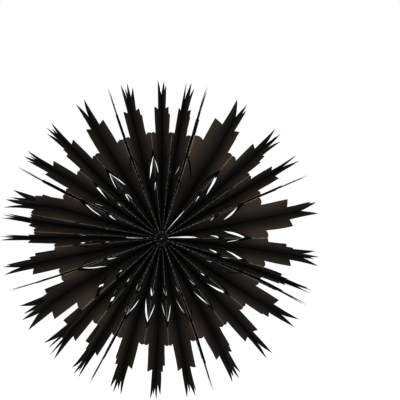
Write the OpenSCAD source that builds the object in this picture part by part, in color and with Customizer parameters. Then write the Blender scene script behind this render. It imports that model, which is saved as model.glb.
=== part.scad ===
// Hanging paper snowflake: flat paper bags, cut along their open ends, glued face to face
// at their bottoms and down their middles, then fanned out round one axis into a full circle.
// Frame: origin where the thread's loop hangs on its nail, +Z up, and the star's axis along Y
// with its front to -Y.

/* [Paper bag] */
// Length of a bag from the hub to the tips of its prongs
bag_length = 225; // [215:5:260]
// Flat width of a bag from fold to fold
bag_width = 124; // [100:2:150]
// Thickness of the paper
paper = 0.2; // [0.12:0.02:0.3]
// Radius round the axis where the glued bag bottoms end
hub_r = 2.5; // [2:0.5:4]
// Half width of the flat strip down the middle of each face that is glued to the next bag
glue_half = 7; // [4:1:8]

/* [Cut end] */
// Distance from the hub to the notch across each fold
notch_r = 146; // [140:1:155]
// Rise of the small bump beside the fold in that notch
scallop = 2; // [0:0.5:5]
// Distance from the hub to the shoulder barbs of a tooth
barb_r = 185; // [170:1:188]
// Drop from a shoulder barb to the root of its prong
barb_drop = 2; // [0:0.5:6]
// Distance from the hub to the bottom of the V between the prongs
vee_r = 198; // [190:1:206]
// Half width of a tooth at its base
tooth_half = 47; // [43:1:49]
// Half width of a tooth at its shoulder barbs
barb_half = 42; // [36:1:43]
// Distance from the middle of the bag to the outer edge of a prong at its root
prong_half = 28; // [24:1:32]
// Lean of each prong tip towards the middle of the bag
prong_lean = 3; // [0:1:6]
// Bulge of the rounded inner edge of a prong
prong_bulge = 1; // [0:0.5:2]

/* [Slits] */
// Distance from the hub to the outer slit where it crosses the fold
outer_slit_r = 119; // [112:1:126]
// Distance from the hub to the pointed ends of the outer slit
outer_slit_end_r = 84; // [80:1:92]
// Distance from the hub to the inner slit where it crosses the fold
inner_slit_r = 82; // [80:1:90]
// Distance from the hub to the pointed ends of the inner slit
inner_slit_end_r = 66; // [60:1:72]
// Width of the outer slit where it gapes most
outer_slit_w = 12; // [2:0.5:14]
// Width of the inner slit where it gapes most
inner_slit_w = 8; // [2:0.5:10]

/* [Fan] */
// How closely the spacing follows a hand-opened star, from even (0) to uneven (1)
unevenness = 1; // [0:0.05:1]
// How strongly a bag's face turns away from the glue line towards its fold
curl = 1.5; // [1.2:0.05:1.8]
// Share of the fold height that is lost at the tips, where the bags are pulled open widest
fold_drop = 0.17; // [0:0.01:0.3]

/* [Hanging thread] */
// Diameter of the thread
thread_d = 0.8; // [0.6:0.1:1.2]
// Height of the nail in the thread's loop above the tips of the prongs
nail_rise = 35; // [20:1:80]
// Distance of the thread's hole in the top tooth below the V between its prongs
hole_drop = 8; // [4:1:12]
// Distance between the two strands of the thread
thread_spread = 4; // [3:0.5:6]

/* [Hidden] */
// One row for each bag, counter-clockwise from the right as seen from the front: azimuth of the
// glue line that it starts at, azimuth of its fold in front and at the back, how far the teeth on
// that glue line turn sideways at their tips in front and at the back, all in degrees, then how
// much of the bag's notch is left uncut and how far its slits gape, both as shares
FAN = [
    [-6.6, 0, 1.4, -1.4, 0.6, 0, 1], [11.2, 23, 22.7, 0, 0.5, 0, 0.8],
    [23.4, 24.1, 23.8, 0, 0, 0.08, 0.3], [30.2, 35.6, 34.9, 0.6, 0.6, 0.08, 0.3],
    [41.5, 49.6, 48, 1, -1, 0.1, 0.9], [58, 72.6, 71, 1, 0.3, 0.08, 0.3], [73.4, 74.2, 74.2, 0, 0, 0, 0.3],
    [80.8, 84.4, 83.4, -0.3, -1.8, 0, 0.3], [90, 95.8, 95.6, 0.3, -0.3, 0, 0.9],
    [103.6, 110, 109.4, 0.3, -1, 0, 0.3], [110.4, 111.4, 111.2, -0.8, -0.8, 0, 0.3],
    [121, 129, 128.4, 0, 0, 0, 1], [135.3, 140.6, 141.4, -0.3, 1.1, 0, 0.8],
    [147.6, 154, 153.4, 0.4, 1.2, 0, 0.3], [154.6, 155.5, 155.3, -1, -1, 0, 0.9],
    [163.4, 169.6, 169.4, 4.2, 0.1, 0.9, 0.3], [172.6, 177.1, 177.1, -0.7, -1.4, 0.72, 0.3],
    [179.6, 184.6, 182.2, 0, -0.6, 0, 0.6], [191.3, 199.4, 198.8, 0.3, 0, 0, 0.3],
    [199.8, 200.5, 200.2, -0.9, -0.9, 0, 0.9], [209.5, 222, 216.6, 2.6, -2.2, 0, 0.7],
    [225.2, 233, 230, 1.7, -1.9, 0, 0.8], [238.8, 244.3, 243.8, -0.5, -1.8, 0, 0.3],
    [244.7, 245.5, 245.3, -1.1, -1.1, 0, 0.9], [253.3, 260.6, 260.6, 0.9, -0.7, 0, 1],
    [267.8, 273.8, 274.9, -0.5, 0.7, 0, 0.7], [280.5, 289, 288.8, 0, 1, 0, 0.3],
    [289.6, 290.4, 290.2, -0.8, -0.8, 0, 0.3], [298.8, 305.8, 306.4, -1, 0.4, 0, 0.7],
    [312.7, 320, 319.3, 0, 0, 0, 0.8], [327.3, 336.4, 336, 0.5, 0.4, 0, 0.3],
    [337.1, 338, 337.8, -1.6, -1.6, 0, 0.3], [341.6, 344.2, 346.2, -1.2, -0.8, 0, 1]
];
BAGS = len(FAN);
// The row whose glue line carries the thread
TOP_ROW = 8;
half_w = bag_width / 2;
hang_drop = bag_length + nail_rise;
thread_hole = vee_r - hole_drop;

bag_names = [for (i = [1 : BAGS]) str("bag_", i < 10 ? "0" : "", i)];

// Flat cutting pattern of a quarter of a bag, as [distance from the middle, distance from the
// hub]: the other quarters mirror it over the middle line and over the fold
mid_slit = (prong_half + tooth_half) / 2;
side_slit = (tooth_half + half_w) / 2;
tip_half = prong_half - prong_lean;
function along(a, b, t) = a + (b - a) * t;
function net(notch, gape) = let (outer_w = outer_slit_w * gape, inner_w = inner_slit_w * gape) [
    // 0 to 4: the glued bottom
    [0, hub_r], [glue_half, hub_r], [prong_half, hub_r], [tooth_half, hub_r], [half_w, hub_r],
    // 5 to 9: the inner slit, from its lower edge at the fold round its point and back
    [half_w, inner_slit_r - inner_w / 2],
    [side_slit, along(inner_slit_end_r, inner_slit_r, 0.6) - inner_w / 2],
    [tooth_half, inner_slit_end_r],
    [side_slit, along(inner_slit_end_r, inner_slit_r, 0.7) + inner_w / 2],
    [half_w, inner_slit_r + inner_w / 2],
    // 10 to 16: the outer slit in the same order
    [half_w, outer_slit_r - outer_w / 2],
    [tooth_half, along(outer_slit_end_r, outer_slit_r, 0.5) - outer_w / 2],
    [mid_slit, along(outer_slit_end_r, outer_slit_r, 0.22) - outer_w / 5],
    [prong_half, outer_slit_end_r],
    [mid_slit, along(outer_slit_end_r, outer_slit_r, 0.24) + outer_w / 5],
    [tooth_half, along(outer_slit_end_r, outer_slit_r, 0.55) + outer_w / 2],
    [half_w, outer_slit_r + outer_w / 2],
    // 17 to 24: the cut end, from the fold to the bottom of the V
    [half_w, notch], [side_slit, notch + scallop], [tooth_half, notch],
    [barb_half, barb_r], [prong_half, barb_r - barb_drop], [tip_half, bag_length],
    [glue_half, along(vee_r, bag_length, 0.16) + prong_bulge], [0, vee_r]
];
PANELS = [
    [0, 1, 23], [0, 23, 24],
    [1, 2, 13], [1, 13, 21], [1, 21, 22], [1, 22, 23],
    [2, 3, 7], [2, 7, 11], [2, 11, 12], [2, 12, 13],
    [21, 13, 14], [21, 14, 15], [21, 15, 19], [21, 19, 20],
    [4, 5, 6], [4, 6, 7], [4, 7, 3],
    [9, 10, 11], [9, 11, 8], [8, 11, 7],
    [16, 17, 18], [16, 18, 19], [16, 19, 15]
];
EDGES = [
    [0, 1, 2, 3, 4], [5, 6, 7, 8, 9], [10, 11, 12, 13, 14, 15, 16], [17, 18, 19, 20, 21, 22, 23, 24]
];

// Azimuth in an even star whose top glue line is straight above the hub
function even(i, part) = 90 + (i + part - TOP_ROW) * 360 / BAGS;
function valley(i) = along(even(i, 0), FAN[i % BAGS][0] + 360 * floor(i / BAGS), unevenness);
function fold(i, w) = along(even(i, 0.5), FAN[i][w > 0 ? 1 : 2], unevenness);
function notch(i) = along(notch_r, barb_r, unevenness * FAN[i][5]);
function gape(i) = along(1, FAN[i][6], unevenness);
// Sideways turn of a tooth at its tip, w from its middle: in front w is above 0, the middle
// line takes the mean, and the folds stay where they are
function bend(i, w) = let (f = FAN[i % BAGS], free = (half_w - abs(w)) / (half_w - tooth_half))
    unevenness * min(1, free) * (w == 0 ? (f[3] + f[4]) / 2 : w > 0 ? f[3] : f[4]);

// Share of the way from the glue line to the fold, at a distance w from the middle of the bag
function turn(w) = w <= glue_half ? 0 : pow((w - glue_half) / (half_w - glue_half), curl);
function fold_share(r) = 1 - fold_drop * r / bag_length;
function polar(r, a, z) = [r * cos(a), r * sin(a), z];

// Azimuth of bag i's face on one side (0 clockwise, 1 counter-clockwise), w from its middle line
function face_azimuth(i, side, w, r) =
    along(valley(i + side), fold(i, w), turn(abs(w)))
        + bend(i + side, w) * max(0, r - notch_r) / (bag_length - notch_r);
// Free width inside the bag between its two faces
function gap(i, w, r) = r * PI / 180 * (face_azimuth(i, 1, w, r) - face_azimuth(i, 0, w, r));

function outer_point(i, side, w, r) = polar(r, face_azimuth(i, side, w, r), w * fold_share(r));
function inner_point(i, side, w, r) = abs(w) >= half_w ? inner_fold(i, sign(w), r) :
    let (a = face_azimuth(i, side, w, r), shift = min(paper, 0.4 * gap(i, w, r)) * (1 - 2 * side))
    outer_point(i, side, w, r) + shift * [-sin(a), cos(a), 0];
// The inside of a fold lies where the two papers just meet
function inner_fold(i, z_side, r) =
    let (w = z_side * (half_w - min(0.2 * half_w,
             2 * paper * half_w / (curl * r * PI / 180 * (valley(i + 1) - valley(i))))),
         a = (face_azimuth(i, 0, w, r) + face_azimuth(i, 1, w, r)) / 2)
    polar(r, a, w * fold_share(r));

// One bag as a closed sheet: four mirrored quarters, each with an outer and an inner skin
module bag(i) {
    flat = net(notch(i), gape(i));
    n = len(flat);
    quarters = [for (side = [0, 1]) for (z_side = [1, -1]) [side, z_side]];
    outer = [for (q = quarters) for (p = flat) outer_point(i, q[0], q[1] * p[0], p[1])];
    inner = [for (q = quarters) for (p = flat) inner_point(i, q[0], q[1] * p[0], p[1])];
    flipped = [false, true, true, false];
    polyhedron(
        points = concat(outer, inner),
        faces = [for (k = [0 : 3]) each concat(
            [for (t = PANELS) facet(t, k * n, flipped[k])],
            [for (t = PANELS) facet(t, (k + 4) * n, !flipped[k])],
            [for (e = EDGES) for (j = [0 : len(e) - 2])
                facet([e[j + 1], e[j], e[j] + 4 * n], k * n, flipped[k])],
            [for (e = EDGES) for (j = [0 : len(e) - 2])
                facet([e[j + 1], e[j] + 4 * n, e[j + 1] + 4 * n], k * n, flipped[k])]
        )]
    );
}
// A triangle of points, counted from the first point of its quarter
function facet(t, first, flip) =
    let (a = t[0] + first, b = t[1] + first, c = t[2] + first) flip ? [c, b, a] : [a, b, c];

// Turns the star from its axis along Z into the hanging frame
module hung() translate([0, 0, -hang_drop]) rotate([90, 0, 0]) children();

// Half of the thread's route in the plane of the star. RISE leads from the paper to the straight
// strand, as [distance from the middle, height above the hole]. STRAIGHT gives shares of the
// strand's height. CREST leads round the nail, as [distance from the middle, height below the top]
strand = thread_spread / 2;
RISE = [[paper, 0], [strand * 0.6, 0.4], [strand * 0.9, 2], [strand, 5]];
STRAIGHT = [for (t = [0.1 : 0.1 : 0.9]) t];
CREST = [[strand, -3], [strand * 0.9, -1.2], [strand * 0.6, -0.4]];
top_z = hang_drop + thread_d / 2;
function strand_points() = concat(
    [for (p = RISE) [p[0], thread_hole + p[1]]],
    [for (t = STRAIGHT) [strand, along(thread_hole + 5, top_z - 3, t)]],
    [for (p = CREST) [p[0], top_z + p[1]]]
);
function backwards(list) = [for (i = [len(list) - 1 : -1 : 0]) list[i]];
ROUTE = concat(
    [for (p = strand_points()) [-p[0], p[1]]], [[0, top_z]], backwards(strand_points())
);

// The thread: an eight-sided tube swept along its route
module hanging_thread() {
    sides = 8;
    last = len(ROUTE) - 1;
    rings = [for (i = [0 : last])
        let (p = ROUTE[i], d = i == 0 ? [-1, 0] : i == last ? [-1, 0] : ROUTE[i + 1] - ROUTE[i - 1],
             across = [-d[1], d[0]] / norm(d))
        for (k = [0 : sides - 1]) let (a = k * 360 / sides, o = thread_d / 2 * cos(a) * across)
            [p[0] + o[0], p[1] + o[1], thread_d / 2 * sin(a)]];
    polyhedron(
        points = rings,
        faces = concat(
            [for (i = [0 : last - 1]) for (k = [0 : sides - 1]) let (m = (k + 1) % sides)
                [i * sides + k, (i + 1) * sides + k, (i + 1) * sides + m, i * sides + m]],
            [[for (k = [0 : sides - 1]) k], [for (k = [sides - 1 : -1 : 0]) last * sides + k]]
        )
    );
}

for (i = [0 : BAGS - 1])
    color("#2b221f") hung() bag(i);
color("#b8b4ae") hung() hanging_thread();
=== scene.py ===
# Double-sided paper snowflake: flat paper bags with cut ends and slits, fanned out into a circle.
# Metres, in the hanging frame: the nail at the origin, +Z up, the star's front to -Y.
import math
from collections import namedtuple

import bpy
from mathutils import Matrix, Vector, noise
from mathutils.geometry import delaunay_2d_cdt


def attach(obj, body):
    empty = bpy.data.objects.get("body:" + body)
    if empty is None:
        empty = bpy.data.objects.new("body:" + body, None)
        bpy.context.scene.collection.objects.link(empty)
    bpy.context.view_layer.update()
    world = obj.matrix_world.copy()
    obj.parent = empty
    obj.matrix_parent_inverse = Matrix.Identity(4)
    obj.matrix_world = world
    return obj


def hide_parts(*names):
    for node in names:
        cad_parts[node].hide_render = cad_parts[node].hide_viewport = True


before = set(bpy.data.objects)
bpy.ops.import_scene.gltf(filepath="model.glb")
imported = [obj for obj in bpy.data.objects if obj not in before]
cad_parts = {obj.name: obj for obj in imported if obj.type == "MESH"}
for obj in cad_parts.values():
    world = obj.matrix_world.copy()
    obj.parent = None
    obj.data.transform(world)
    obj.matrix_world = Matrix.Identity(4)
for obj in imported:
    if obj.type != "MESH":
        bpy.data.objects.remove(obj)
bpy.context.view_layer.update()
MM = 0.001

# The bag and its cutting pattern, in millimetres, as in the part's source
BAG_LENGTH = 225.0
HALF_W = 62.0
PAPER = 0.2
GLUE_HALF = 7.0
NOTCH_R = 146.0
SCALLOP = 2.0
BARB_R = 185.0
BARB_DROP = 2.0
VEE_R = 198.0
TOOTH_HALF = 47.0
BARB_HALF = 42.0
PRONG_HALF = 28.0
PRONG_LEAN = 3.0
TIP_HALF = PRONG_HALF - PRONG_LEAN
OUTER_SLIT_R, OUTER_SLIT_END, OUTER_SLIT_W = 119.0, 84.0, 12.0
INNER_SLIT_R, INNER_SLIT_END, INNER_SLIT_W = 82.0, 66.0, 8.0
CURL = 1.5
FOLD_DROP = 0.17
HANG = 260.0

# How much the inner edge of a prong curves: 1 is straight
PRONG_CURVE = 1.55
# Each slit from the fold inwards: distance from the middle, share of its rise at its lower and its
# upper edge, and the part of its width that each edge keeps from the line between them
MID_SLIT = (PRONG_HALF + TOOTH_HALF) / 2
SIDE_SLIT = (TOOTH_HALF + HALF_W) / 2
OUTER_SLIT = [(HALF_W, 1, 1, 2), (TOOTH_HALF, 0.5, 0.55, 2), (MID_SLIT, 0.22, 0.24, 5)]
INNER_SLIT = [(HALF_W, 1, 1, 2), (SIDE_SLIT, 0.6, 0.7, 2)]

# The bags' bottoms are pressed together round the axis
BOTTOM_R = 0.9
# Each fold is a rounded crease, which grows in over a stretch before the fold
CREASE = 0.28
CREASE_FROM, CREASE_OVER = 50, 8
# Share of the room beside a face that creases and waves may take
FREE_SHARE = 0.2
# Waves of the paper: greatest height, gain, steps of the noise across and outward, and the
# stretches beside the glue and beside the fold over which they grow in
WAVE_MAX, WAVE_GAIN = 0.9, 1.6
WAVE_ACROSS, WAVE_OUTWARD = 0.035, 0.022
WAVE_FROM_GLUE, WAVE_FROM_FOLD = 12, 10
# Near the hub the paper is thinner, and takes at most this share of a face's half of the room
THIN_SHARE = 0.8
# Width of the strip along each fold that is painted paler: wear, and a painted highlight on the fold
# edge
WEAR_AND_HIGHLIGHT_WIDTH = 1.2

# Bags whose glued bottom seam stands open near the hub, on the face before the next bag: a slot
# as rows of distance from the hub, azimuth and half width (mm, degrees, mm)
OPEN_SEAMS = {
    0: [(9, 9, 0.4), (15, 7.4, 0.7), (22, 5.4, 0.95), (30, 4, 1.2), (38, 3.2, 1.3), (46, 2.7, 1.2),
        (51, 2.4, 0.7), (54, 2.2, 0.2)],
    4: [(9, 57, 0.3), (15, 55.8, 0.55), (24, 53.7, 0.75), (32, 52.6, 0.85), (39, 52, 0.95),
        (47, 51.6, 0.8), (54, 51.3, 0.2)],
    16: [(14, 178.6, 0.2), (20, 178.4, 0.4), (28, 178.2, 0.5), (35, 178.2, 0.8), (44, 178.1, 0.95),
         (50, 178, 0.7), (53, 177.9, 0.2)],
}
# Sideways shift of the slots (mm), opposite in the front and back halves of a bag
SEAM_LEAN = 0.35
# The slots stay off the glue line and off the fold, as shares of the way between them
SEAM_FROM, SEAM_TO = 0.02, 0.985

# Rows of the fan: glue line, fold in front, fold at the back, bend of the tooth in front and at
# the back, in degrees, the share of the notch left uncut, and how far the slits gape
Bag = namedtuple("Bag", "glue front_fold back_fold front_bend back_bend uncut gape")
FAN = [Bag(*row) for row in [
    [-6.6, 0, 1.4, -1.4, 0.6, 0, 1], [11.2, 23, 22.7, 0, 0.5, 0, 0.8],
    [23.4, 24.1, 23.8, 0, 0, 0.08, 0.3], [30.2, 35.6, 34.9, 0.6, 0.6, 0.08, 0.3],
    [41.5, 49.6, 48, 1, -1, 0.1, 0.9], [58, 72.6, 71, 1, 0.3, 0.08, 0.3],
    [73.4, 74.2, 74.2, 0, 0, 0, 0.3], [80.8, 84.4, 83.4, -0.3, -1.8, 0, 0.3],
    [90, 95.8, 95.6, 0.3, -0.3, 0, 0.9], [103.6, 110, 109.4, 0.3, -1, 0, 0.3],
    [110.4, 111.4, 111.2, -0.8, -0.8, 0, 0.3], [121, 129, 128.4, 0, 0, 0, 1],
    [135.3, 140.6, 141.4, -0.3, 1.1, 0, 0.8], [147.6, 154, 153.4, 0.4, 1.2, 0, 0.3],
    [154.6, 155.5, 155.3, -1, -1, 0, 0.9], [163.4, 169.6, 169.4, 4.2, 0.1, 0.9, 0.3],
    [172.6, 177.1, 177.1, -0.7, -1.4, 0.72, 0.3], [179.6, 184.6, 182.2, 0, -0.6, 0, 0.6],
    [191.3, 199.4, 198.8, 0.3, 0, 0, 0.3], [199.8, 200.5, 200.2, -0.9, -0.9, 0, 0.9],
    [209.5, 222, 216.6, 2.6, -2.2, 0, 0.7], [225.2, 233, 230, 1.7, -1.9, 0, 0.8],
    [238.8, 244.3, 243.8, -0.5, -1.8, 0, 0.3], [244.7, 245.5, 245.3, -1.1, -1.1, 0, 0.9],
    [253.3, 260.6, 260.6, 0.9, -0.7, 0, 1], [267.8, 273.8, 274.9, -0.5, 0.7, 0, 0.7],
    [280.5, 289, 288.8, 0, 1, 0, 0.3], [289.6, 290.4, 290.2, -0.8, -0.8, 0, 0.3],
    [298.8, 305.8, 306.4, -1, 0.4, 0, 0.7], [312.7, 320, 319.3, 0, 0, 0, 0.8],
    [327.3, 336.4, 336, 0.5, 0.4, 0, 0.3], [337.1, 338, 337.8, -1.6, -1.6, 0, 0.3],
    [341.6, 344.2, 346.2, -1.2, -0.8, 0, 1],
]]
BAGS = len(FAN)

# Inner points of the flat net: distances from the middle, closer towards the fold, and the rows
GRID_W = [3.5, 7, 10, 14, 18, 23, 28, 33, 37.5, 42, 47, 50.5, 54, 57, 59.2, 60.6, 61.35, 61.75]
FIRST_ROW, ROW_STEP = 3, 6
# Spacing of the points along the cuts, beside the barb and down the middle line
CUT_STEP, BARB_STEP, MIDDLE_STEP = 5, 4, 6
SCALLOP_POINTS, VEE_POINTS = 12, 14
# Two places closer than this are the same (mm)
SAME = 1e-4

# Material numbers on a bag
PAPER_FACE, CUT_FACE = 0, 1


def along(a, b, t):
    return a + (b - a) * t


def valley(i):
    """Azimuth of the glue line before bag i"""
    return FAN[i % BAGS].glue + 360 * (i // BAGS)


def fold_azimuth(i, w):
    """Azimuth of the fold of bag i, in front for w above 0 and otherwise at the back"""
    return FAN[i].front_fold if w > 0 else FAN[i].back_fold


def turn(w):
    """Share of the way from the glue line to the fold that a face has turned at w"""
    return 0.0 if w <= GLUE_HALF else ((w - GLUE_HALF) / (HALF_W - GLUE_HALF)) ** CURL


def bend(i, w):
    """Sideways turn of a tooth at its tip"""
    bag = FAN[i % BAGS]
    side_value = bag.front_bend if w > 0 else bag.back_bend
    mean = (bag.front_bend + bag.back_bend) / 2
    free = min(1.0, (HALF_W - abs(w)) / (HALF_W - TOOTH_HALF))
    return free * along(mean, side_value, min(1.0, abs(w) / GLUE_HALF))


def azimuth(i, side, w, r):
    """Azimuth of a face of bag i: side 0 is the one before its fold, 1 the one after it"""
    tip = max(0.0, r - NOTCH_R) / (BAG_LENGTH - NOTCH_R)
    return along(valley(i + side), fold_azimuth(i, w), turn(abs(w))) + bend(i + side, w) * tip


def beside(i, side, w, r):
    """Azimuth of the neighbouring bag's face that looks at this one"""
    if side == 0:
        return azimuth(i - 1, 1, w, r) if i else azimuth(BAGS - 1, 1, w, r) - 360
    return azimuth(i + 1, 0, w, r) if i < BAGS - 1 else azimuth(0, 0, w, r) + 360


def place(r, degrees, w):
    """The point at a distance from the hub, an azimuth and a distance from the middle"""
    a = math.radians(degrees)
    return Vector((r * math.cos(a), -w * (1 - FOLD_DROP * r / BAG_LENGTH), r * math.sin(a) - HANG))


def between(a, b, c, d, t):
    """The smooth curve through a, b, c and d, at t of the way from b to c"""
    return 0.5 * (2 * b + (c - a) * t + (2 * a - 5 * b + 4 * c - d) * t * t
                  + (3 * b - a - 3 * c + d) * t ** 3)


def curve(points, steps=6):
    """A smooth curve through the points"""
    path = [points[0]] + points + [points[-1]]
    out = []
    for four in zip(path, path[1:], path[2:], path[3:]):
        for k in range(steps):
            out.append(tuple(between(*values, k / steps) for values in zip(*four)))
    return out + [points[-1]]


def slit(stations, fold_r, end, width):
    """Both edges of a slit, from the fold to its point and back"""
    low = [(w, along(end[1], fold_r, share) - width / part) for w, share, _, part in stations]
    high = [(w, along(end[1], fold_r, share) + width / part) for w, _, share, part in stations]
    return curve(low + [end]) + curve(high + [end])[::-1][1:]


def spread(a, b, step):
    """Points from a to b, both included"""
    count = max(1, round(math.dist(a, b) / step))
    return [(along(a[0], b[0], k / count), along(a[1], b[1], k / count)) for k in range(count + 1)]


def outline(notch, gape):
    """Outline of a quarter of the flat bag, as (distance from the middle, distance from the hub)"""
    inner = slit(INNER_SLIT, INNER_SLIT_R, (TOOTH_HALF, INNER_SLIT_END), INNER_SLIT_W * gape)
    outer = slit(OUTER_SLIT, OUTER_SLIT_R, (PRONG_HALF, OUTER_SLIT_END), OUTER_SLIT_W * gape)
    scallops = [(along(HALF_W, TOOTH_HALF, k / SCALLOP_POINTS),
                 notch + SCALLOP * math.sin(math.pi * k / SCALLOP_POINTS))
                for k in range(SCALLOP_POINTS + 1)]
    vee = [(TIP_HALF * k / VEE_POINTS, VEE_R + (BAG_LENGTH - VEE_R) * (k / VEE_POINTS) ** PRONG_CURVE)
           for k in range(VEE_POINTS + 1)]
    pieces = [
        spread((0, BOTTOM_R), (HALF_W, BOTTOM_R), CUT_STEP),
        spread((HALF_W, BOTTOM_R), inner[0], CUT_STEP), inner,
        spread(inner[-1], outer[0], CUT_STEP), outer,
        spread(outer[-1], (HALF_W, notch), CUT_STEP), scallops,
        spread((TOOTH_HALF, notch), (BARB_HALF, BARB_R), CUT_STEP),
        spread((BARB_HALF, BARB_R), (PRONG_HALF, BARB_R - BARB_DROP), BARB_STEP),
        spread((PRONG_HALF, BARB_R - BARB_DROP), (TIP_HALF, BAG_LENGTH), CUT_STEP),
        vee[::-1], spread((0, VEE_R), (0, BOTTOM_R), MIDDLE_STEP),
    ]
    points = []
    for piece in pieces:
        for p in piece:
            if not points or math.dist(points[-1], p) > 1e-6:
                points.append(p)
    if math.dist(points[0], points[-1]) < 1e-6:
        points.pop()
    return points


def distance_to_segment(p, a, b):
    ab = (b[0] - a[0], b[1] - a[1])
    t = ((p[0] - a[0]) * ab[0] + (p[1] - a[1]) * ab[1]) / max(1e-9, ab[0] ** 2 + ab[1] ** 2)
    t = min(1.0, max(0.0, t))
    return math.dist(p, (a[0] + ab[0] * t, a[1] + ab[1] * t))


def sides(loop):
    """The sides of a closed line, as pairs of its points"""
    return list(zip(loop, loop[1:] + loop[:1]))


def inside(p, loop):
    """Whether the point lies inside the closed line"""
    hit = False
    for (x1, y1), (x2, y2) in sides(loop):
        if (y1 > p[1]) != (y2 > p[1]) and p[0] < x1 + (p[1] - y1) * (x2 - x1) / (y2 - y1):
            hit = not hit
    return hit


def middle(points):
    return [sum(values) / len(points) for values in zip(*points)]


def seam_slot(i, z_side):
    """The open seam of bag i in the flat pattern, for its front (z_side 1) or back half (-1)"""
    start, fold = valley(i + 1), fold_azimuth(i, z_side)
    edges = ([], [])
    for r, a, half in OPEN_SEAMS[i]:
        # The slots in the front and back halves lie behind each other as seen from the front
        lean = z_side * SEAM_LEAN * (math.cos(math.radians(a)) - math.sin(math.radians(a)))
        for edge, offset in zip(edges, (half, -half)):
            share = (start - a - math.degrees((offset - lean) / r)) / (start - fold)
            share = min(SEAM_TO, max(SEAM_FROM, share))
            edge.append((GLUE_HALF + (HALF_W - GLUE_HALF) * share ** (1 / CURL), r))
    return edges[0] + edges[1][::-1]


def edge_room(w):
    """How far an inner point stays from the cuts (mm), less near the fold where points are close"""
    return 0.2 if HALF_W - w < 1 else 0.6 if HALF_W - w < 3 else 1.0


def inner_points(loop, hole):
    """Points of the grid that lie inside the outline and away from its sides"""
    cuts = sides(loop) + sides(hole)
    points = []
    r = BOTTOM_R + FIRST_ROW
    while r < BAG_LENGTH:
        for p in ((w, r) for w in GRID_W):
            if inside(p, loop) and min(distance_to_segment(p, a, b) for a, b in cuts) > edge_room(p[0]):
                points.append(p)
        r += ROW_STEP
    return points


def single_edges(faces):
    """The edges that belong to one face only"""
    count = {}
    for face in faces:
        for edge in sides(face):
            count[frozenset(edge)] = count.get(frozenset(edge), 0) + 1
    return {edge for edge, n in count.items() if n == 1}


# Flat nets that were made before
FLAT = {}


def flat_net(notch, gape, hole=()):
    """Triangulated quarter of the flat bag, and its free edges"""
    key = (notch, gape, tuple(hole))
    if key not in FLAT:
        loop = outline(notch, gape)
        hole = list(hole)
        first = len(loop)
        rim = [(first + k, first + (k + 1) % len(hole)) for k in range(len(hole))]
        points = [Vector(p) for p in loop + hole + inner_points(loop, hole)]
        # Output kind 1 keeps the triangles inside the outline
        verts, _, faces, _, _, _ = delaunay_2d_cdt(points, rim, [list(range(first))], 1, 1e-5)
        verts = [(v.x, v.y) for v in verts]
        faces = [tuple(f) for f in faces]
        if hole:
            faces = [f for f in faces if not inside(middle([verts[k] for k in f]), hole)]
        FLAT[key] = (verts, faces, single_edges(faces))
    return FLAT[key]


def wave(i, side, w, r, room):
    """Slight wave of a face, within a share of the room on both of its sides"""
    quiet = (min(1.0, max(0.0, (abs(w) - GLUE_HALF) / WAVE_FROM_GLUE))
             * min(1.0, (HALF_W - abs(w)) / WAVE_FROM_FOLD))
    limit = min(WAVE_MAX, FREE_SHARE * room[0], FREE_SHARE * max(0.0, room[1])) * quiet
    # The third coordinate sets the bags and their faces apart in the noise
    at = Vector((w * WAVE_ACROSS, r * WAVE_OUTWARD, i * 7.3 + side * 3.1))
    return limit * noise.noise(at) * WAVE_GAIN


def crease(i, w, arc):
    """Half the distance that the crease keeps between the two faces of a bag"""
    pitch = valley(i + 1) - valley(i)
    round_r = min(CREASE, FREE_SHARE * arc * pitch) * min(1.0, max(0.0, (w - CREASE_FROM) / CREASE_OVER))
    end = HALF_W - round_r
    if w > end:
        round_r *= math.sqrt(max(0.0, 1 - ((w - end) / max(1e-9, HALF_W - end)) ** 2))
    return round_r


def face_point(i, side, z_side, w, r, skin):
    """A point of one face of a bag, in millimetres; skin 0 is the outer surface, 1 the inner one"""
    at_fold = w > HALF_W - SAME
    ws = w * z_side
    # Millimetres per degree
    arc = r * math.pi / 180
    a0, a1 = azimuth(i, 0, ws, r), azimuth(i, 1, ws, r)
    room = arc * (a1 - a0)
    outside = arc * (beside(i, 1, ws, r) - a1 if side else a0 - beside(i, 0, ws, r))
    half = math.hypot(room / 2, crease(i, w, arc))
    if skin:
        half = 0.0 if at_fold else half - min(PAPER, THIN_SHARE * half)
    sideways = (2 * side - 1) * half + wave(i, side, ws, r, (room, outside))
    return place(r, (a0 + a1) / 2 + sideways / arc, (w - PAPER if skin and at_fold else w) * z_side)


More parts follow.
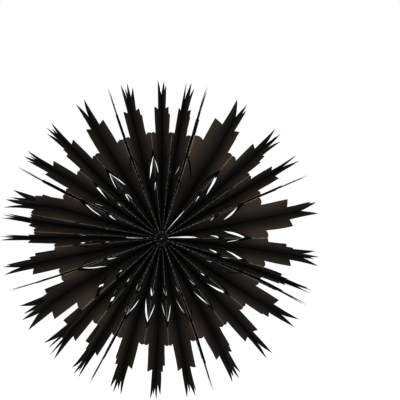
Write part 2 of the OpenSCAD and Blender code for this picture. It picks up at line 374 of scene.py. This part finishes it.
def bag_mesh(i):
    """One folded bag: two faces with an outer and an inner surface, joined by rims at the cuts"""
    notch, gape = along(NOTCH_R, BARB_R, FAN[i].uncut), FAN[i].gape
    verts, index, fold_wear_and_highlight, uv = [], {}, [], []

    def vertex(side, z_side, w, r, skin):
        at_fold, at_middle = w > HALF_W - SAME, w < SAME
        key = (0 if at_fold else side, 0 if at_middle else z_side, round(w, 4), round(r, 4), skin)
        if key not in index:
            index[key] = len(verts)
            verts.append(face_point(i, side, z_side, w, r, skin) * MM)
            # Share of wear and of painted highlight on the fold edge
            fold_wear_and_highlight.append(max(0.0, 1 - (HALF_W - w) / WEAR_AND_HIGHLIGHT_WIDTH))
            uv.append((w * z_side * MM, r * MM))
        return index[key]

    polys, kinds = [], []

    def add_quarter(side, z_side):
        seam = seam_slot(i, z_side) if side == 1 and i in OPEN_SEAMS else ()
        flat, faces, free_edges = flat_net(notch, gape, seam)
        flip = (side == 0) != (z_side == 1)
        for f in faces:
            outer = [vertex(side, z_side, *flat[k], 0) for k in f]
            inner = [vertex(side, z_side, *flat[k], 1) for k in f]
            polys.append(outer if flip else outer[::-1])
            polys.append(inner[::-1] if flip else inner)
            kinds.extend([PAPER_FACE, PAPER_FACE])
            for a, b in sides(f):
                (wa, ra), (wb, rb) = flat[a], flat[b]
                uncut = frozenset((a, b)) not in free_edges
                if uncut or min(wa, wb) > HALF_W - SAME or max(wa, wb) < SAME:
                    continue
                quad = [vertex(side, z_side, wb, rb, 0), vertex(side, z_side, wa, ra, 0),
                        vertex(side, z_side, wa, ra, 1), vertex(side, z_side, wb, rb, 1)]
                polys.append(quad if flip else quad[::-1])
                kinds.append(CUT_FACE)

    for side in (0, 1):
        for z_side in (1, -1):
            add_quarter(side, z_side)
    mesh = bpy.data.meshes.new(f"paper_bag_{i + 1:02d}")
    mesh.from_pydata(verts, [], polys)
    mesh.polygons.foreach_set("material_index", kinds)
    mesh.polygons.foreach_set("use_smooth", [True] * len(polys))
    layer = mesh.attributes.new("fold_wear_and_highlight", "FLOAT", "POINT")
    layer.data.foreach_set("value", fold_wear_and_highlight)
    uv_layer = mesh.uv_layers.new(name="flat")
    for loop in mesh.loops:
        uv_layer.data[loop.index].uv = uv[loop.vertex_index]
    mesh.set_sharp_from_angle(angle=math.radians(40))
    mesh.update()
    return mesh


def nodes_of(name):
    material = bpy.data.materials.new(name)
    material.use_nodes = True
    tree = material.node_tree
    return material, tree, tree.nodes["Principled BSDF"]


def feed(tree, socket, value):
    """Links an output to the socket, or sets the socket's own value"""
    if isinstance(value, bpy.types.NodeSocket):
        tree.links.new(value, socket)
    else:
        socket.default_value = value


def add(tree, kind, inputs, **values):
    """A new node with its inputs fed"""
    node = tree.nodes.new(kind)
    for key, value in values.items():
        setattr(node, key, value)
    for key, value in inputs.items():
        feed(tree, node.inputs[key], value)
    return node


def ramp(tree, source, start, start_colour, end, end_colour):
    """Colours between two stops"""
    node = add(tree, "ShaderNodeValToRGB", {"Fac": source})
    stops = ((start, start_colour), (end, end_colour))
    for element, (at, colour) in zip(node.color_ramp.elements, stops):
        element.position, element.color = at, (*colour, 1)
    return node.outputs["Color"]


def grey(level):
    return (level, level, level)


def noise_pattern(tree, at, scale, detail, roughness=0.5):
    inputs = {"Vector": at, "Scale": scale, "Detail": detail, "Roughness": roughness}
    return add(tree, "ShaderNodeTexNoise", inputs).outputs["Fac"]


def span(tree, source, start=0.0, end=1.0, low=0.0, high=1.0, kind="SMOOTHSTEP"):
    """Turns values from start to end into values from low to high"""
    inputs = {"Value": source, "From Min": start, "From Max": end, "To Min": low, "To Max": high}
    return add(tree, "ShaderNodeMapRange", inputs, interpolation_type=kind).outputs["Result"]


def calculate(tree, operation, *values):
    return add(tree, "ShaderNodeMath", dict(enumerate(values)), operation=operation).outputs["Value"]


def mix(tree, factor, a, b, blend="MIX"):
    """Colour b over colour a"""
    node = add(tree, "ShaderNodeMix", {}, data_type="RGBA", blend_type=blend)
    for key, value in (("Factor", factor), ("A", a), ("B", b)):
        feed(tree, node.inputs[key], value)
    return node.outputs["Result"]


def roughen(tree, shader, height, strength, distance):
    """Gives the surface a fine relief"""
    inputs = {"Height": height, "Strength": strength, "Distance": distance}
    tree.links.new(add(tree, "ShaderNodeBump", inputs).outputs["Normal"], shader.inputs["Normal"])


def paper_tone_and_painted_light(tree, clouds, flat_place):
    """Paper colour by its place on the flat bag, in metres from the middle and from the hub, with
    painted shade towards the glue lines and painted light at the open ends
    """
    flat = add(tree, "ShaderNodeSeparateXYZ", {"Vector": flat_place}).outputs
    across = calculate(tree, "ABSOLUTE", flat["X"])
    # Painted shade: darker towards the glue line deep in each valley, lighter towards the folds
    painted_valley_shade = span(tree, across, start=0.012, end=0.058, low=0.45, high=1.15)
    # Painted light: beyond the outer slits the paper is painted paler, and towards the folds there also
    # browner
    outward = span(tree, flat["Y"], start=0.1, end=0.13)
    to_fold = span(tree, across, start=0.024, end=0.05)
    painted_lit_zone = calculate(tree, "MULTIPLY", outward, to_fold)
    tone = ramp(tree, clouds, 0.3, (0.0128, 0.0118, 0.0096), 0.75, (0.0192, 0.0174, 0.0142))
    painted_lit_brown = ramp(tree, clouds, 0.3, (0.0144, 0.0107, 0.0081), 0.75, (0.0228, 0.0168, 0.0126))
    brown = mix(tree, painted_lit_zone, tone, painted_lit_brown)
    painted_outer_light = span(tree, outward, low=0.8, high=1.25, kind="LINEAR")
    strength = calculate(tree, "MULTIPLY", painted_valley_shade, painted_outer_light)
    lit_and_shaded = add(tree, "ShaderNodeVectorMath", {"Vector": brown, "Scale": strength}, operation="SCALE")
    return lit_and_shaded.outputs["Vector"]


def paper_material():
    material, tree, shader = nodes_of("black_brown_paper")
    places = add(tree, "ShaderNodeTexCoord", {}).outputs
    clouds = noise_pattern(tree, places["Object"], scale=14, detail=4, roughness=0.6)
    fibres = noise_pattern(tree, places["Object"], scale=900, detail=3, roughness=0.7)
    stretch = add(tree, "ShaderNodeMapping", {"Vector": places["UV"], "Scale": (1.0, 0.15, 1.0)})
    ribs = noise_pattern(tree, stretch.outputs["Vector"], scale=1600, detail=2)
    flecks = ramp(tree, fibres, 0.55, grey(0), 0.85, (0.012, 0.0093, 0.0078))
    paper = mix(tree, 0.5, paper_tone_and_painted_light(tree, clouds, places["UV"]), flecks, blend="ADD")
    # The folds are painted paler, in patches: partly wear, partly a painted highlight on the fold edge
    worn_and_lit = add(tree, "ShaderNodeAttribute", {}, attribute_name="fold_wear_and_highlight").outputs["Fac"]
    patches = ramp(tree, clouds, 0.25, grey(0.25), 0.7, grey(0.85))
    colour = mix(tree, calculate(tree, "MULTIPLY", worn_and_lit, patches), paper, (0.105, 0.102, 0.092, 1))
    feed(tree, shader.inputs["Base Color"], colour)
    feed(tree, shader.inputs["Roughness"], ramp(tree, fibres, 0.2, grey(0.72), 0.8, grey(0.92)))
    shader.inputs["Specular IOR Level"].default_value = 0.03
    relief = calculate(tree, "ADD", fibres, ribs)
    roughen(tree, shader, relief, strength=0.35, distance=0.0002)
    return material


def cut_edge_material():
    material, tree, shader = nodes_of("paper_cut_edge")
    places = add(tree, "ShaderNodeTexCoord", {}).outputs
    fibres = noise_pattern(tree, places["Object"], scale=700, detail=3)
    tone = ramp(tree, fibres, 0.3, (0.008, 0.0066, 0.0056), 0.7, (0.018, 0.015, 0.0127))
    feed(tree, shader.inputs["Base Color"], tone)
    shader.inputs["Roughness"].default_value = 0.9
    roughen(tree, shader, fibres, strength=0.4, distance=0.0001)
    return material


def thread_material():
    material, tree, shader = nodes_of("pale_thread")
    places = add(tree, "ShaderNodeTexCoord", {}).outputs
    twist = {"Vector": places["Object"], "Scale": 420, "Distortion": 1.5}
    strands = add(tree, "ShaderNodeTexWave", twist, wave_type="BANDS", bands_direction="DIAGONAL")
    tone = ramp(tree, strands.outputs["Fac"], 0.1, (0.42, 0.41, 0.4), 0.9, (0.72, 0.71, 0.69))
    feed(tree, shader.inputs["Base Color"], tone)
    shader.inputs["Roughness"].default_value = 0.7
    roughen(tree, shader, strands.outputs["Fac"], strength=0.5, distance=0.0001)
    return material


def new_object(name, data):
    obj = bpy.data.objects.new(name, data)
    bpy.context.scene.collection.objects.link(obj)
    return obj


def look(obj, eye, aim):
    """Puts a camera or lamp at a place and turns it to another"""
    obj.location = eye
    obj.rotation_euler = (Vector(aim) - Vector(eye)).to_track_quat("-Z", "Y").to_euler()


# The camera, at the photograph's angle
PHOTO_PIXELS = 400
FOCAL_PIXELS = 977.2
SENSOR = 36
camera_data = bpy.data.cameras.new("camera")
camera_data.sensor_width = SENSOR
camera_data.lens = FOCAL_PIXELS * SENSOR / PHOTO_PIXELS
camera = new_object("camera", camera_data)
look(camera, (-0.011, -1.4, -0.271), (0.05521, 0, -0.20452))
bpy.context.scene.camera = camera

# The hanging thread, along the part's own route, in millimetres
THREAD_D = 0.8
THREAD_SPREAD = 4.0
HOLE_DROP = 8
STRAND = THREAD_SPREAD / 2
THREAD_HOLE = VEE_R - HOLE_DROP
TOP = HANG + THREAD_D / 2
# One strand, from the hole up to the nail
strand = [(PAPER, THREAD_HOLE), (STRAND * 0.6, THREAD_HOLE + 0.4), (STRAND * 0.9, THREAD_HOLE + 2),
          (STRAND, THREAD_HOLE + 5)]
strand += [(STRAND, along(THREAD_HOLE + 5, TOP - 3, t / 10)) for t in range(1, 10)]
strand += [(STRAND, TOP - 3), (STRAND * 0.9, TOP - 1.2), (STRAND * 0.6, TOP - 0.4)]
ROUTE = [(-x, z) for x, z in strand] + [(0, TOP)] + strand[::-1]
thread_curve = bpy.data.curves.new("hanging_thread_curve", "CURVE")
thread_curve.dimensions = "3D"
thread_curve.bevel_depth = THREAD_D * MM / 2
thread_curve.bevel_resolution = 3
thread_curve.use_fill_caps = True
spline = thread_curve.splines.new("POLY")
spline.points.add(len(ROUTE) - 1)
for point, (x, z) in zip(spline.points, ROUTE):
    point.co = (x * MM, 0, (z - HANG) * MM, 1)
thread = new_object("thread_loop", thread_curve)
thread_curve.materials.append(thread_material())
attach(thread, "root")
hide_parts("hanging_thread")

# The paper bags
paper = paper_material()
cut_edge = cut_edge_material()
for i in range(BAGS):
    mesh = bag_mesh(i)
    mesh.materials.append(paper)
    mesh.materials.append(cut_edge)
    piece = new_object(f"paper_bag_{i + 1:02d}", mesh)
    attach(piece, "root")
    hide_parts(f"bag_{i + 1:02d}")

# The plain pale floor
FLOOR_HALF = 12.0
FLOOR_Z = -0.62
floor_mesh = bpy.data.meshes.new("floor")
corners = [(-FLOOR_HALF, -FLOOR_HALF), (FLOOR_HALF, -FLOOR_HALF), (FLOOR_HALF, FLOOR_HALF),
           (-FLOOR_HALF, FLOOR_HALF)]
floor_mesh.from_pydata([(x, y, FLOOR_Z) for x, y in corners], [], [(0, 1, 2, 3)])
floor = new_object("floor", floor_mesh)
floor_material, floor_tree, floor_shader = nodes_of("pale_floor")
floor_shader.inputs["Base Color"].default_value = (0.9, 0.9, 0.9, 1)
floor_shader.inputs["Roughness"].default_value = 0.9
floor_mesh.materials.append(floor_material)


def studio_world():
    """A backdrop that is seen as white, and lights the star only weakly"""
    world = bpy.data.worlds.new("studio")
    world.use_nodes = True
    tree = world.node_tree
    seen = add(tree, "ShaderNodeLightPath", {}).outputs["Is Camera Ray"]
    backdrop = tree.nodes["Background"]
    backdrop.inputs["Color"].default_value = (1, 1, 1, 1)
    feed(tree, backdrop.inputs["Strength"], span(tree, seen, low=0.08, high=1.0, kind="LINEAR"))
    return world


bpy.context.scene.world = studio_world()
# The gamma gives the photograph's contrast
bpy.context.scene.view_settings.view_transform = "Standard"
bpy.context.scene.view_settings.gamma = 0.75

# Soft lamps for the star alone, aimed at the hub: place and diameter in metres, power in watts
HUB = (0, 0, -HANG * MM)
SOFT_LAMPS = [
    ("key_light", (0.05, -2.6, -0.16), 0.8, 255),
    ("top_light", (0.2, -0.6, 2.2), 1.2, 12),
    ("back_light", (-0.05, 2.6, -0.16), 0.8, 290),
    ("left_light", (-2.6, -0.3, 0.1), 1.2, 18),
    ("right_light", (2.6, -0.3, 0.1), 1.2, 18),
]


def linking_to_floor(name, state):
    """Light linking that lights the floor alone (INCLUDE), or all but the floor (EXCLUDE)"""
    group = bpy.data.collections.new(name)
    group.objects.link(floor)
    group.collection_objects[0].light_linking.link_state = state
    return group


def softbox(name, place_at, size, power, receivers):
    light = bpy.data.lights.new(name, "AREA")
    light.shape = "DISK"
    light.size = size
    light.energy = power
    lamp = new_object(name, light)
    look(lamp, place_at, HUB)
    lamp.light_linking.receiver_collection = receivers


no_floor = linking_to_floor("no_floor", "EXCLUDE")
for lamp_values in SOFT_LAMPS:
    softbox(*lamp_values, no_floor)

# A light for the floor alone
floor_light = bpy.data.lights.new("floor_light", "SUN")
floor_light.energy = 3.5
floor_light.angle = 0.5
floor_lamp = new_object("floor_light", floor_light)
floor_lamp.light_linking.receiver_collection = linking_to_floor("floor_only", "INCLUDE")
